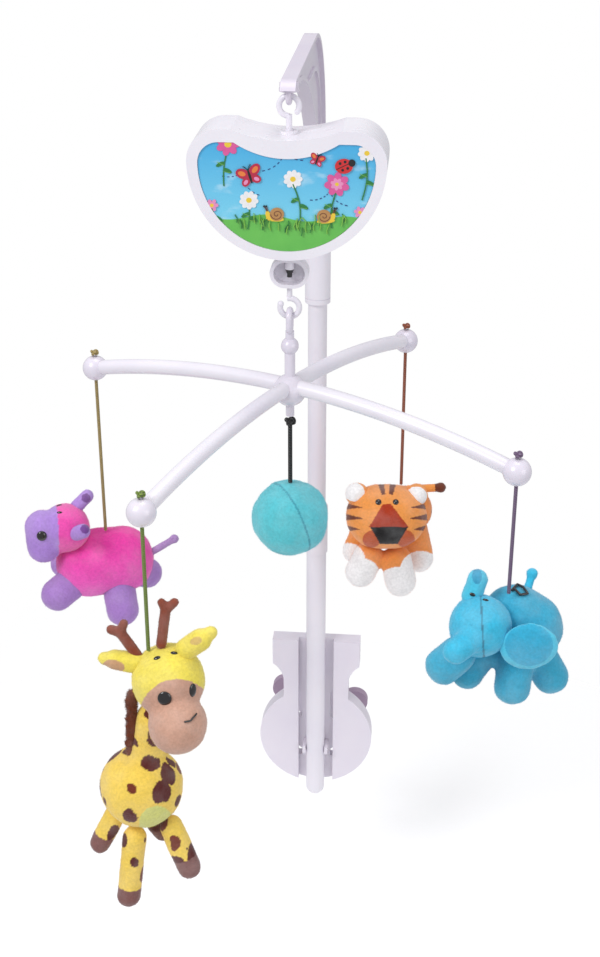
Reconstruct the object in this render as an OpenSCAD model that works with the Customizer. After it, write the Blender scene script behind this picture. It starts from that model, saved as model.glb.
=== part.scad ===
/* [Mast and arm] */
// Reach from the mast's axis to the axis of the hanging mobile
reach = 250; // [220:1:320]
// Outer diameter of the lower tube
lower_tube_d = 18.2; // [16:0.1:22]
// Outer diameter of the upper tube
upper_tube_d = 16.4; // [14:0.1:20]
// Wall of both tubes
tube_wall = 2; // [1.5:0.1:3]
// Height of the lower coupler's seam above the upper rail pad
lower_seam_z = 124; // [100:1:160]
// Length of the lower coupler's collar
lower_collar_h = 48; // [36:1:60]
// Height of the upper coupler's base above the upper rail pad
upper_collar_z = 367; // [330:1:420]
// Length of the upper coupler
upper_collar_h = 49; // [40:1:60]
// Outer diameter of the upper coupler
upper_collar_d = 21.8; // [21:0.1:26]
// Height of the arm's top above the upper coupler
arm_rise = 188; // [178:1:210]
// Width of the arm's flanges
arm_width = 10; // [8:0.5:14]
// Thickness of the arm's flanges, ribs and web
arm_wall = 3; // [2:0.1:3.5]

/* [Clamp] */
// Width across the clamp plate's round lower body
plate_w = 110; // [100:1:120]
// Thickness of the clamp plate
plate_t = 15; // [14:0.5:18]
// Gap for the crib rail as drawn
rail_gap = 30; // [20:1:38]
// Diameter of the clamp bolt
bolt_d = 8; // [6:0.5:10]
// Span across the knob's wings
knob_span = 98; // [84:1:104]
// Diameter of the pressure plate
pressure_d = 48; // [40:1:54]

/* [Music box] */
// Width of the case
case_w = 130; // [120:1:145]
// Depth of the case from front to back
case_d = 42; // [38:1:52]
// Wall of the case
case_wall = 2.4; // [2:0.1:3]
// Diameter of the winding shaft
shaft_d = 3.6; // [3:0.1:5]
// Teeth on the spring barrel's rim
barrel_teeth = 36; // [28:4:40]
// Teeth on the melody cylinder's pinion
pinion_teeth = 12; // [12:2:14]

/* [Spider] */
// Radius from the hub's axis to each arm ball
spider_r = 175; // [160:1:180]
// Drop of the arms from the hub to the balls
arm_drop = 23; // [18:1:30]
// Diameter of the spider's arms
spider_arm_d = 11; // [9:0.1:12.5]
// Diameter of the arm balls
arm_ball_d = 19.2; // [18:0.1:24]
// Diameter of the toys' strings
string_d = 2.6; // [2:0.1:3]
// Diameter of the centre ball
centre_ball_d = 57; // [50:1:60]

/* [Hidden] */
$fn = 64;
white = [0.93, 0.93, 0.95];
fit = 0.05;
run = 0.3;

// Places along the mast, from the centre of the upper rail pad's face
mast_y = -20;
hub_y = mast_y - reach;
arm_base_z = upper_collar_z + upper_collar_h + run;
arm_top_z = arm_base_z + arm_rise;
hub_z = arm_top_z - 212.3;
foot_z = -153;
spigot_h = 24;

// Clamp
pad_t = 2;
bolt_z = -78;
lower_pad_z = -128;
body_r = plate_w / 2;
body_z = -87;
plate_top_z = 23;
shoulder_w = 84;
neck_w = 63;
neck_z = -24;
neck_r = 24;
head_r = 9;
head_t = 4;
bolt_end_y = 70;
knob_hub_r = 13;
knob_hub_h = 16;
lobe_r = 13;
wing_t = 8;
wing_tilt = 9.5;
pressure_t = 6;

// Hooks and eyes
loop_wire_r = 1.9;
hook_wire_r = 1.9;
hook_r = 6.5;
loop_half = 4.3;
tip_t = 5.5;
loop_flange_t = 2;
loop_wire_z = arm_top_z - tip_t - loop_flange_t - 7.1;
top_hook_wire_z = loop_wire_z + loop_wire_r + hook_wire_r + run;
top_hook_z = top_hook_wire_z - hook_r;
eye_wire_r = 2.2;
grip_wire_r = 2;
grip_hook_r = 6.6;
eye_half = 5.2;
eye_top_z = hub_z + 56;
eye_bottom_z = hub_z + 41;
grip_hook_z = eye_top_z - eye_wire_r - run - grip_wire_r + grip_hook_r;

// Music box
case_z = hub_z + 163;
case_r = case_w / 2;
case_lobe_r = 21;
case_dip = 6.5;
case_dip_half = 36;
seam_y = -6;
panel_inset = 7.2;
panel_dip = 10;
panel_dip_half = 34;
panel_t = 1.2;
panel_depth = 1;
stem_r = 2.6;
stem_head_r = 5;
movement_z = hub_z + 122;
gear_module = (case_d / 2 - case_wall - panel_t - 0.7) / (barrel_teeth / 2 + 0.8);
spring_start_r = shaft_d / 2 + 0.5;
spring_strip = 0.5;
spring_half_turns = 10;
gear_distance = gear_module * (barrel_teeth + pinion_teeth) / 2 + 0.1;
melody_r = 7;
pin_out = 0.8;
barrel_outer_r = gear_distance - melody_r - pin_out - 0.4;
barrel_inner_r = barrel_outer_r - 1.2;
spring_step = 2 * (barrel_inner_r - 0.3 - spring_strip - spring_start_r) / spring_half_turns;
grip_z = hub_z + 83.4;
grip_w = 26.4;
grip_h = 20.5;
grip_t = 9;

// Spider
hub_sphere_r = 11.6;
hub_sphere_z = hub_z - 3;
post_r = 3.7;
small_ball_r = 6.2;
arm_start = 8.2;
arm_curve_r = (pow(spider_r, 2) + pow(arm_drop, 2)) / (2 * arm_drop);
ball_z = hub_z - arm_drop;
ball_r = arm_ball_d / 2;
string_bore_r = string_d / 2 + 0.6;
string_top_z = ball_z - sqrt(pow(ball_r, 2) - pow(string_bore_r, 2));
knot_r = 3;
first_arm_angle = 63.6;
view_turn = 5.1;
arm_angles = [for (i = [0:3]) first_arm_angle + 90 * i];

// Ball cord
peg_r = 3;
peg_end_z = hub_z - 22.5;
cord_r = 1.6;
cord_knot_r = 4.3;
cord_knot_z = peg_end_z - cord_knot_r - run;
ball_centre_z = hub_z - 104;

// Each toy's main forms, from the foot of its string's line at the hub's level
soft_gap = 0.3;
hippo_chest_c = [-14, -4, -191];
hippo_rump_c = [10, 4, -192];
hippo_body_r = 28;
hippo_head_c = [-30, -12, -155];
hippo_head_r = 20;
giraffe_head_c = [12, -1, -146];
giraffe_head_r = 24.5;
giraffe_body_c = [-10, 5, -236];
giraffe_body_r = 29;
tiger_head_c = [-7, -12, -174.5];
tiger_head_r = 27;
tiger_chest_c = [-2, 8, -184];
tiger_rump_c = [6, 22, -186];
tiger_body_r = 24;
elephant_head_c = [-19, -8, -136];
elephant_head_r = 22;
elephant_chest_c = [2, 8, -140];
elephant_rump_c = [16, 10, -148];
elephant_body_r = 26;
hippo_top = hippo_chest_c[2] + hippo_body_r - 0.4;

module at_mast() translate([0, mast_y, 0]) children();
module at_hub() translate([0, hub_y, 0]) children();
module upright() rotate([90, 0, 0]) children();
module along_y(y0, y1) translate([0, y1, 0]) rotate([90, 0, 0]) linear_extrude(y1 - y0) children();
module rod_y(x, y0, y1, z, r) translate([x, y0, z]) rotate([-90, 0, 0]) cylinder(h = y1 - y0, r = r);
module rod_z(z0, z1, r) translate([0, 0, z0]) cylinder(h = z1 - z0, r = r);
module tube_z(z0, z1, r, inner) difference() {
  rod_z(z0, z1, r);
  rod_z(z0 - 1, z1 + 1, inner);
}

// A capsule between two points, turned from its own half outline and made larger all over by grow
module pill(a, b, r, grow = 0) {
  d = b - a;
  l = norm(d);
  big = r + grow;
  translate(a) rotate([0, acos(d[2] / l), atan2(d[1], d[0])]) rotate_extrude() intersection() {
    union() {
      circle(big);
      translate([0, l]) circle(big);
      square([big, l]);
    }
    translate([0, -big]) square([big, l + 2 * big]);
  }
}
module blob(p, r, grow = 0) translate(p) sphere(r + grow);
// A ball with the hollow that another ball leaves in it, turned about the line between them
module hollowed_blob(p, r, cut_p, cut_r) {
  d = cut_p - p;
  l = norm(d);
  translate(p) rotate([0, acos(d[2] / l), atan2(d[1], d[0])]) rotate_extrude() difference() {
    intersection() {
      circle(r);
      translate([0, -r]) square([r, 2 * r]);
    }
    translate([0, l]) circle(cut_r);
  }
}

// A round bar bent to part of a circle in the upright plane that faces the front
module bent_bar(ring_r, wire_r, from, sweep) {
  upright() rotate([0, 0, from]) rotate_extrude(angle = sweep) translate([ring_r, 0]) circle(wire_r, $fn = 32);
}
module bar_end(ring_r, wire_r, angle) {
  translate([ring_r * cos(angle), 0, ring_r * sin(angle)]) sphere(wire_r, $fn = 32);
}

// ---- Clamp ----
module plate_outline() difference() {
  union() {
    translate([-shoulder_w / 2, neck_z]) square([shoulder_w, plate_top_z - neck_z]);
    translate([-neck_w / 2, body_z]) square([neck_w, neck_z - body_z + 1]);
    translate([0, body_z]) circle(body_r);
  }
  for (s = [-1, 1]) translate([s * (neck_w / 2 + neck_r), neck_z]) circle(neck_r);
}
module tube_lugs() for (s = [-1, 1])
  translate([s * (lower_tube_d / 2 + 1.6) - 1.5, mast_y - 6, -102]) cube([3, 6 - mast_y - pad_t - 6, 8]);
module clamp_plate() color(white) difference() {
  union() {
    difference() {
      along_y(-pad_t - plate_t, -pad_t) plate_outline();
      translate([-17, -pad_t - plate_t - 1, -200]) cube([34, 7, 400]);
    }
    tube_lugs();
  }
  at_mast() rod_z(-200, 200, lower_tube_d / 2 + fit);
  rod_y(0, -8.2, -3.9, bolt_z, head_r + fit);
  rod_y(0, -5, 0, bolt_z, bolt_d / 2 + fit);
  difference() {
    rod_y(0, -11, 0, body_z, body_r - 4);
    rod_y(0, -12, 1, body_z, 24);
    translate([-14, -12, -200]) cube([28, 13, 400]);
    translate([-60, -12, lower_pad_z - 14]) cube([120, 13, 28]);
  }
}
module rail_pads() color([0.35, 0.35, 0.37]) {
  translate([-28, -pad_t, -13]) cube([56, pad_t, 26]);
  translate([-22, -pad_t, lower_pad_z - 8]) cube([44, pad_t, 16]);
}
module clamp_bolt() color([0.75, 0.75, 0.78]) {
  rod_y(0, -8.1, -8.1 + head_t, bolt_z, head_r);
  rod_y(0, -8.1 + head_t, bolt_end_y, bolt_z, bolt_d / 2);
}
module pressure_plate() color(white) difference() {
  union() {
    rod_y(0, rail_gap, rail_gap + pressure_t, bolt_z, pressure_d / 2);
    rod_y(0, rail_gap, rail_gap + pressure_t + 1.5, bolt_z, 10);
  }
  rod_y(0, rail_gap - 1, rail_gap + pressure_t + 3, bolt_z, bolt_d / 2 + fit);
}
module wing_knob() color([0.69, 0.61, 0.69]) {
  y0 = rail_gap + pressure_t + 1.6;
  difference() {
    union() {
      rod_y(0, y0, y0 + knob_hub_h, bolt_z, knob_hub_r);
      translate([0, y0 + 3, bolt_z]) rotate([0, wing_tilt, 0]) for (s = [-1, 1]) {
        rod_y(s * (knob_span / 2 - lobe_r), 0, wing_t, 0, lobe_r);
        translate([s * (knob_span / 2 - lobe_r) / 2, wing_t / 2, 0])
          cube([knob_span / 2 - lobe_r, wing_t, 17], center = true);
      }
    }
    rod_y(0, y0 - 1, y0 + knob_hub_h + 1, bolt_z, bolt_d / 2 + fit);
  }
}

// ---- Mast ----
module lower_tube() color(white) at_mast() {
  tube_z(foot_z + lower_tube_d / 2, lower_seam_z, lower_tube_d / 2, lower_tube_d / 2 - tube_wall);
  difference() {
    translate([0, 0, foot_z + lower_tube_d / 2]) sphere(lower_tube_d / 2);
    translate([0, 0, foot_z + lower_tube_d / 2]) sphere(lower_tube_d / 2 - tube_wall);
    rod_z(foot_z + lower_tube_d / 2, foot_z + lower_tube_d * 2, lower_tube_d);
  }
}
module lower_coupler() color(white) at_mast() {
  top = lower_seam_z + lower_collar_h;
  bore = upper_tube_d / 2 + fit;
  rim = 2;
  difference() {
    union() {
      rod_z(lower_seam_z, top - rim, bore + rim);
      rod_z(lower_seam_z - spigot_h, lower_seam_z + 1, lower_tube_d / 2 - tube_wall - fit);
      translate([0, 0, top - rim]) rotate_extrude() union() {
        square([bore, rim]);
        intersection() {
          translate([bore, 0]) circle(rim);
          translate([bore, 0]) square(rim);
        }
      }
    }
    rod_z(lower_seam_z + 22, top + 1, bore);
    rod_z(lower_seam_z - spigot_h - 1, lower_seam_z + 16, 4);
  }
}
module upper_tube() color(white) at_mast()
  tube_z(lower_seam_z + 22 + fit, upper_collar_z + 17 - fit, upper_tube_d / 2, upper_tube_d / 2 - tube_wall);
module upper_coupler() color(white) at_mast() difference() {
  rod_z(upper_collar_z, upper_collar_z + upper_collar_h, upper_collar_d / 2);
  rod_z(upper_collar_z - 1, upper_collar_z + 17, upper_tube_d / 2 + fit);
  rod_z(upper_collar_z + 21, upper_collar_z + upper_collar_h + 1, arm_stub_r + fit);
  difference() {
    rod_z(upper_collar_z + 4, upper_collar_z + 4.8, upper_collar_d);
    rod_z(upper_collar_z + 3, upper_collar_z + 6, upper_collar_d / 2 - 0.5);
  }
}
arm_stub_r = 7;

// The arm's side outline: straight top, round rear corner and a shallow arc inside
corner_r = 100;
arm_back = 12;
nose_r = 12;
inner_low = [13, 8];
inner_high = [reach - 8, arm_rise - tip_t];
inner_sag = 46;
inner_chord = norm(inner_high - inner_low);
inner_r = pow(inner_chord, 2) / (8 * inner_sag) + inner_sag / 2;
inner_dir = (inner_high - inner_low) / inner_chord;
inner_c = (inner_high + inner_low) / 2 + [inner_dir[1], -inner_dir[0]] * (inner_r - inner_sag);
module arm_outside(inset) {
  translate([corner_r - arm_back, 0]) square([reach - corner_r + arm_back, arm_rise - inset]);
  translate([inset - arm_back, 0]) square([corner_r - inset, arm_rise - corner_r]);
  translate([corner_r - arm_back, arm_rise - corner_r]) circle(corner_r - inset, $fn = 128);
  translate([reach, arm_rise - nose_r]) circle(nose_r - min(inset, nose_r - 1));
}
module arm_side(inset, inner_inset) difference() {
  arm_outside(inset);
  translate(inner_c) circle(inner_r + inner_inset, $fn = 256);
  translate([-200, -400]) square([600, 400]);
}
module arm_slab(w) translate([0, mast_y, arm_base_z]) rotate([0, 0, -90]) rotate([90, 0, 0])
  linear_extrude(w, center = true) children();
module crook_arm() color(white) {
  rib_at = 24;
  arm_slab(arm_wall) arm_side(0, 0);
  arm_slab(arm_width) difference() {
    arm_side(0, 0);
    arm_side(arm_wall, arm_wall);
  }
  arm_slab(arm_width - 3) difference() {
    arm_side(rib_at, 0);
    arm_side(rib_at + arm_wall, 0);
  }
  at_mast() rod_z(arm_base_z, arm_base_z + 10, upper_collar_d / 2);
  at_mast() rod_z(upper_collar_z + 21 + run, arm_base_z + 1, arm_stub_r);
  at_hub() rod_z(arm_top_z - tip_t, arm_top_z - 2, loop_half + loop_wire_r);
}
module arm_loop() color(white) at_hub() {
  flange_z = arm_top_z - tip_t - loop_flange_t;
  bend_z = loop_wire_z + loop_half;
  rotate([0, 0, 90]) {
    translate([0, 0, bend_z]) bent_bar(loop_half, loop_wire_r, 180, 180);
    for (s = [-1, 1]) translate([s * loop_half, 0, 0]) rod_z(bend_z, flange_z + 1, loop_wire_r);
  }
  rod_z(flange_z, flange_z + loop_flange_t, loop_half + loop_wire_r + 0.3);
}

// ---- Music box ----
module kidney(half_w, lobe, dip, dip_half) {
  dip_r = (pow(dip_half, 2) + pow(dip, 2)) / (2 * dip);
  difference() {
    union() {
      intersection() {
        circle(half_w, $fn = 128);
        translate([-half_w, -half_w]) square([2 * half_w, half_w]);
      }
      for (s = [-1, 1]) translate([s * (half_w - lobe), 0]) circle(lobe);
      translate([lobe - half_w, 0]) square([2 * (half_w - lobe), lobe]);
    }
    translate([0, lobe - dip + dip_r]) circle(dip_r, $fn = 128);
  }
}
module case_outline(inset) translate([0, case_z])
  kidney(case_r - inset, case_lobe_r - inset, case_dip, case_dip_half);
module panel_outline(inset) translate([0, case_z - 1])
  kidney(case_r - panel_inset - inset, case_lobe_r - panel_inset - inset, panel_dip, panel_dip_half);
screw_spots = [for (s = [-1, 1]) for (p = [[case_r - 22, 2], [case_r * 0.62, -34]]) [s * p[0], case_z + p[1]]];
module screw_posts(y0, y1, r) for (p = screw_spots) rod_y(p[0], y0, y1, p[1], r);
module case_front() color(white) at_hub() difference() {
  union() {
    difference() {
      along_y(-case_d / 2, seam_y) case_outline(0);
      along_y(-case_d / 2 + case_wall + panel_t, seam_y + 1) case_outline(case_wall);
    }
    screw_posts(-case_d / 2 + 2, seam_y, 4);
  }
  along_y(-case_d / 2 - 1, -case_d / 2 + panel_t + panel_depth) panel_outline(0);
  screw_posts(-case_d / 2 + 6, seam_y + 1, 1.4 + fit);
}
module picture_panel() color([0.36, 0.72, 0.86]) at_hub()
  along_y(-case_d / 2 + panel_depth, -case_d / 2 + panel_depth + panel_t - fit) panel_outline(0.15);
module case_back() color(white) at_hub() difference() {
  union() {
    difference() {
      along_y(seam_y, case_d / 2) case_outline(0);
      along_y(seam_y - 1, case_d / 2 - case_wall) case_outline(case_wall);
    }
    screw_posts(seam_y, case_d / 2 - 1, 4.6);
    rod_z(case_z + case_lobe_r - case_dip - 8, case_z + case_lobe_r - case_dip + 2, 5.7);
    rod_z(case_z - case_r + 1, movement_z - 4.1, 5.7);
  }
  rod_z(case_z, case_z + case_r, stem_r + fit);
  rod_z(case_z + case_lobe_r - case_dip - 20, case_z + case_lobe_r - case_dip - 5, stem_head_r + 1);
  rod_z(case_z - case_r - 2, case_z - case_r + 20, shaft_d / 2 + fit);
  screw_posts(seam_y - 1, case_d / 2 + 1, 1.5);
  screw_posts(case_d / 2 - 3, case_d / 2 + 1, 3.2);
}
module case_screws() color([0.6, 0.6, 0.63]) at_hub() {
  screw_posts(-case_d / 2 + 7, case_d / 2 - 2, 1.4);
  screw_posts(case_d / 2 - 3 + fit, case_d / 2 - 1, 3);
}
module case_hook() color(white) at_hub() {
  seat_z = case_z + case_lobe_r - case_dip;
  translate([0, 0, top_hook_z]) {
    bent_bar(hook_r, hook_wire_r, -35, 305);
    bar_end(hook_r, hook_wire_r, -35);
  }
  rod_z(seat_z - 8, top_hook_z - hook_r + 1, hook_wire_r + 0.1);
  rod_z(seat_z - 8, seat_z + 3, stem_r);
  rod_z(seat_z - 9, seat_z - 5.3, stem_head_r);
}

// ---- Musical movement ----
module gear_face(teeth) {
  pitch_r = gear_module * teeth / 2;
  root_r = pitch_r - 1.15 * gear_module;
  tip_r = pitch_r + 0.8 * gear_module;
  half_root = 0.66 * gear_module;
  half_pitch = 0.54 * gear_module;
  half_tip = 0.28 * gear_module;
  circle(root_r);
  for (i = [0:teeth - 1]) rotate(360 * i / teeth)
    polygon([[root_r - 0.3, -half_root], [pitch_r, -half_pitch], [tip_r, -half_tip],
             [tip_r, half_tip], [pitch_r, half_pitch], [root_r - 0.3, half_root]]);
}
module movement_plate() color([0.78, 0.76, 0.7]) at_hub() difference() {
  translate([-20.5, -9, movement_z - 3.8]) cube([55, 26, 1.8]);
  rod_z(movement_z - 5, movement_z, shaft_d / 2 + 0.4);
  translate([gear_distance, 0, 0]) rod_z(movement_z - 5, movement_z, 1.5 + fit);
}
module spring_barrel() color([0.8, 0.65, 0.3]) at_hub() difference() {
  union() {
    translate([0, 0, movement_z]) linear_extrude(3) gear_face(barrel_teeth);
    rod_z(movement_z + 2, movement_z + 22, barrel_outer_r);
  }
  rod_z(movement_z + 3, movement_z + 20, barrel_inner_r);
  rod_z(movement_z - 1, movement_z + 23, shaft_d / 2 + fit);
}
// The spring's strip: half turns, each wider than the last, about two centres in turn
module mainspring() color([0.45, 0.47, 0.52]) at_hub() for (i = [0:spring_half_turns - 1])
  translate([(i % 2) * spring_step / 2, 0, movement_z + 4]) rotate([0, 0, 180 * (i % 2)])
    rotate_extrude(angle = 180) translate([spring_start_r + i * spring_step / 2, 0]) square([spring_strip, 15]);
module winding_shaft() color([0.12, 0.12, 0.13]) at_hub() {
  rod_z(grip_z - 3.4, movement_z + 26, shaft_d / 2);
  rod_z(movement_z - 1.6, movement_z - 0.1, 4);
}
module melody_cylinder() color([0.83, 0.7, 0.36]) at_hub() translate([gear_distance, 0, 0]) {
  phase = 180 / pinion_teeth;
  rows = 5;
  translate([0, 0, movement_z - 0.5]) linear_extrude(4) rotate(180 + phase) gear_face(pinion_teeth);
  rod_z(movement_z + 3.3, movement_z + 24, melody_r);
  rod_z(movement_z - 3.8, movement_z + 28, 1.5);
  for (k = [0:rows - 1]) for (j = [0:2])
    rotate([0, 0, 120 * j + 47 * k]) translate([melody_r - 0.5, 0, movement_z + 6 + 3.6 * k]) rotate([0, 90, 0])
      cylinder(h = pin_out + 0.5, r = 0.45, $fn = 24);
}
module tuned_comb() color([0.6, 0.62, 0.66]) at_hub() difference() {
  translate([gear_distance - 5.5, 8.4, movement_z - 2]) cube([13.5, 5, 26]);
  for (i = [0:6]) translate([gear_distance - 6.5, 7.9, movement_z + 6.4 + 2.4 * i]) cube([15.5, 2.6, 0.5]);
}
module governor() color([0.85, 0.85, 0.87]) at_hub() {
  translate([-20, -8, movement_z + 23.2]) cube([9, 18, 9]);
  translate([-20, 12.2 - 4, movement_z + 23.2]) cube([8, 8, 9]);
  translate([-20, 12.4, movement_z - 2]) cube([7.5, 4.2, 34.2]);
}

// ---- Winding grip ----
module stadium(w, h) {
  for (s = [-1, 1]) translate([s * (w - h) / 2, 0]) circle(h / 2);
  square([w - h, h], center = true);
}
module winding_grip() color(white) at_hub() {
  difference() {
    translate([0, 0, grip_z]) along_y(-grip_t / 2, grip_t / 2) stadium(grip_w, grip_h);
    translate([0, 0, grip_z]) difference() {
      along_y(-grip_t, grip_t / 2 - 1.2) stadium(grip_w - 5, grip_h - 5);
      translate([0, 0, grip_h / 2 - 8]) cylinder(h = 9, r = 3.1);
    }
    rod_z(grip_z - 5, grip_z + 20, shaft_d / 2 + fit);
  }
  translate([0, 0, grip_hook_z]) {
    bent_bar(grip_hook_r, grip_wire_r, -200, 305);
    bar_end(grip_hook_r, grip_wire_r + 0.2, -200);
  }
  rod_z(grip_hook_z + grip_hook_r, grip_z - grip_h / 2 + 1.5, grip_wire_r - 0.15);
}
module shaft_nut() color([0.2, 0.2, 0.22]) at_hub() {
  nut_top = grip_z + grip_h / 2 - 8 - fit;
  tube_z(nut_top - 2.4, nut_top - 0.6, shaft_d / 2 + 0.7, shaft_d / 2 + fit);
  tube_z(nut_top - 0.7, nut_top, shaft_d / 2 + 1.2, shaft_d / 2 + fit);
}

// ---- Spider ----
module hub_post() color(white) at_hub() {
  rotate([0, 0, 90]) {
    translate([0, 0, eye_top_z - eye_half]) bent_bar(eye_half, eye_wire_r, 0, 180);
    translate([0, 0, eye_bottom_z + eye_half]) bent_bar(eye_half, eye_wire_r, 180, 180);
    for (s = [-1, 1]) translate([s * eye_half, 0, 0]) rod_z(eye_bottom_z + eye_half, eye_top_z - eye_half, eye_wire_r);
  }
  rod_z(hub_z + 33, eye_bottom_z, 3);
  translate([0, 0, hub_z + 30]) sphere(small_ball_r);
  rod_z(hub_z + 3, hub_z + 30, post_r);
}
// The bar of one arm: it leaves the hub level and bends down at one radius
module arm_bar(angle, from_r, to_r, r) {
  a0 = asin(from_r / arm_curve_r);
  a1 = asin(to_r / arm_curve_r);
  at_hub() rotate([0, 0, angle]) translate([0, 0, hub_z - arm_curve_r]) upright()
    rotate([0, 0, 90 - a1]) rotate_extrude(angle = a1 - a0, $fn = 128) translate([arm_curve_r, 0]) circle(r, $fn = 32);
}
module spider_arm(i) color(white) arm_bar(arm_angles[i], arm_start, spider_r - string_bore_r - 2, spider_arm_d / 2);
module hub_body() color(white) difference() {
  at_hub() {
    translate([0, 0, hub_sphere_z]) sphere(hub_sphere_r);
    rod_z(peg_end_z, hub_sphere_z, peg_r);
  }
  for (a = arm_angles) arm_bar(a, arm_start - fit, 30, spider_arm_d / 2 + fit);
  at_hub() rod_z(hub_z + 3 - fit, hub_z + 20, post_r + fit);
}
module at_ball(i) at_hub() rotate([0, 0, arm_angles[i]]) translate([spider_r, 0, 0]) children();
module arm_balls() color(white) for (i = [0:3]) difference() {
  at_ball(i) translate([0, 0, ball_z]) sphere(ball_r);
  arm_bar(arm_angles[i], spider_r - 20, spider_r - string_bore_r - 2 + fit, spider_arm_d / 2 + fit);
  at_ball(i) rod_z(ball_z - 20, ball_z + 20, string_bore_r);
}
string_colours = [[0.7, 0.4, 0.27], [0.78, 0.68, 0.43], [0.55, 0.67, 0.27], [0.55, 0.43, 0.6]];
module string_knots() for (i = [0:3]) color(string_colours[i]) at_ball(i)
  blob([0, 0, ball_z + ball_r + knot_r - 0.5], knot_r);

// ---- Strings ----
string_sides = 8;
string_rings = 14;
function ring_point(r, z, k) = [r * cos(360 * k / string_sides), r * sin(360 * k / string_sides), z];
module hanging_string(z_top, z_bottom, r) {
  levels = [for (j = [0:string_rings - 1]) z_top + (z_bottom - z_top) * j / (string_rings - 1)];
  points = [for (z = levels) for (k = [0:string_sides - 1]) ring_point(r, z, k)];
  last = (string_rings - 1) * string_sides;
  sides = [for (j = [0:string_rings - 2]) for (k = [0:string_sides - 1])
    let (next = (k + 1) % string_sides)
    [j * string_sides + k, j * string_sides + next, (j + 1) * string_sides + next, (j + 1) * string_sides + k]];
  top_cap = [for (k = [0:string_sides - 1]) string_sides - 1 - k];
  low_cap = [for (k = [0:string_sides - 1]) last + k];
  polyhedron(points = points, faces = concat([top_cap], sides, [low_cap]), convexity = 2);
}
module toy_string(i, toy_top) color(string_colours[i]) at_ball(i)
  hanging_string(string_top_z, hub_z + toy_top + soft_gap, string_d / 2);
module ball_cord() color([0.08, 0.08, 0.09]) at_hub() {
  hanging_string(cord_knot_z - cord_knot_r + 0.2, ball_centre_z + centre_ball_d / 2 + soft_gap, cord_r);
  blob([0, 0, cord_knot_z], cord_knot_r);
}
module centre_ball() color([0.3, 0.74, 0.8]) at_hub() blob([0, 0, ball_centre_z], centre_ball_d / 2);

// ---- Toys: x to the right, y away from the viewer, z from the hub's level ----
module at_toy(i) translate([0, 0, hub_z]) at_ball(i) rotate([0, 0, view_turn - arm_angles[i]]) children();

// The centre of a ball of radius r that just clears a form of radius big at c, on the way to p
function seat(c, big, p, r) = c + (p - c) / norm(p - c) * max(big + r + soft_gap, 0);
// The greatest height of a round form's surface under the string's end
function top_of(c, big) = c[2] + sqrt(pow(big, 2) - pow(max(norm([c[0], c[1]]) - string_d / 2, 0), 2));
// A limb from a form's surface to its end, or a ball on the surface where the end is nearer
module limb(c, big, p, r) {
  start = seat(c, big, p, r);
  if (norm(p - c) > norm(start - c) + 0.5) pill(start, p, r);
  else blob(start, r);
}

module hippo_head_form(g = 0) blob(hippo_head_c, hippo_head_r, g);
module hippo_body_form(g = 0) pill(hippo_chest_c, hippo_rump_c, hippo_body_r, g);
module hippo_body() color([0.88, 0.2, 0.58]) at_toy(1) hippo_body_form();
module hippo_head() color([0.9, 0.3, 0.62]) at_toy(1) {
  hollowed_blob(hippo_head_c, hippo_head_r, hippo_chest_c, hippo_body_r + soft_gap);
  difference() {
    pill([-48, -18, -150], [-47, -19, -168], 13.5);
    hippo_head_form(soft_gap);
  }
}
module hippo_ears() color([0.62, 0.42, 0.76]) at_toy(1) {
  blob(seat(hippo_head_c, hippo_head_r, [-16, 2, -129], 7), 7);
  blob(seat(hippo_head_c, hippo_head_r, [-17, -36, -157], 7), 7);
}
module hippo_legs() color([0.62, 0.45, 0.78]) at_toy(1) {
  limb(hippo_chest_c, hippo_body_r, [-42, -28, -216], 13.5);
  limb(hippo_rump_c, hippo_body_r, [14, -21, -228], 13.5);
  limb(hippo_chest_c, hippo_body_r, [-36, 22, -206], 13);
  limb(hippo_rump_c, hippo_body_r, [26, 26, -216], 13);
}
module hippo_tail() color([0.62, 0.5, 0.7]) at_toy(1) limb(hippo_rump_c, hippo_body_r, [54, 10, -176], 2.6);

giraffe_neck_r = 13;
neck_top = seat(giraffe_head_c, giraffe_head_r, [-2, 10, -190], giraffe_neck_r);
neck_low = giraffe_body_c + [0, 3, 6];
module giraffe_body() color([0.97, 0.84, 0.4]) at_toy(2) {
  blob(giraffe_body_c, giraffe_body_r);
  pill(neck_top, neck_low, giraffe_neck_r);
}
module giraffe_head() color([0.95, 0.87, 0.35]) at_toy(2) {
  blob(giraffe_head_c, giraffe_head_r);
  difference() {
    blob([19, -21, -167], 20);
    blob(giraffe_head_c, giraffe_head_r + soft_gap);
  }
}
module giraffe_ears() color([0.95, 0.87, 0.35]) at_toy(2) {
  limb(giraffe_head_c, giraffe_head_r, [-24, 0, -132], 6.5);
  limb(giraffe_head_c, giraffe_head_r, [45, -2, -124], 6.5);
}
module giraffe_horn(tip) {
  limb(giraffe_head_c, giraffe_head_r, tip, 3);
  blob(tip, 4);
}
module giraffe_horns() color([0.55, 0.25, 0.16]) at_toy(2) {
  giraffe_horn([-20, 4, -110]);
  giraffe_horn([13, 4, -91]);
}
module giraffe_mane() color([0.5, 0.24, 0.14]) at_toy(2) {
  along = (neck_low - neck_top) / norm(neck_low - neck_top);
  back = [-0.8, 0.6, 0];
  side = back - along * (back * along);
  line = neck_top + side / norm(side) * (giraffe_neck_r + 5 + soft_gap);
  pill(line + along * 4, line + along * 26, 5);
}
module giraffe_legs() color([0.96, 0.84, 0.42]) at_toy(2) {
  limb(giraffe_body_c, giraffe_body_r, [-40, -2, -280], 7.5);
  limb(giraffe_body_c, giraffe_body_r, [-21, -14, -316], 8.5);
  limb(giraffe_body_c, giraffe_body_r, [2, 16, -284], 7.5);
  limb(giraffe_body_c, giraffe_body_r, [22, -12, -292], 8.5);
}

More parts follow.
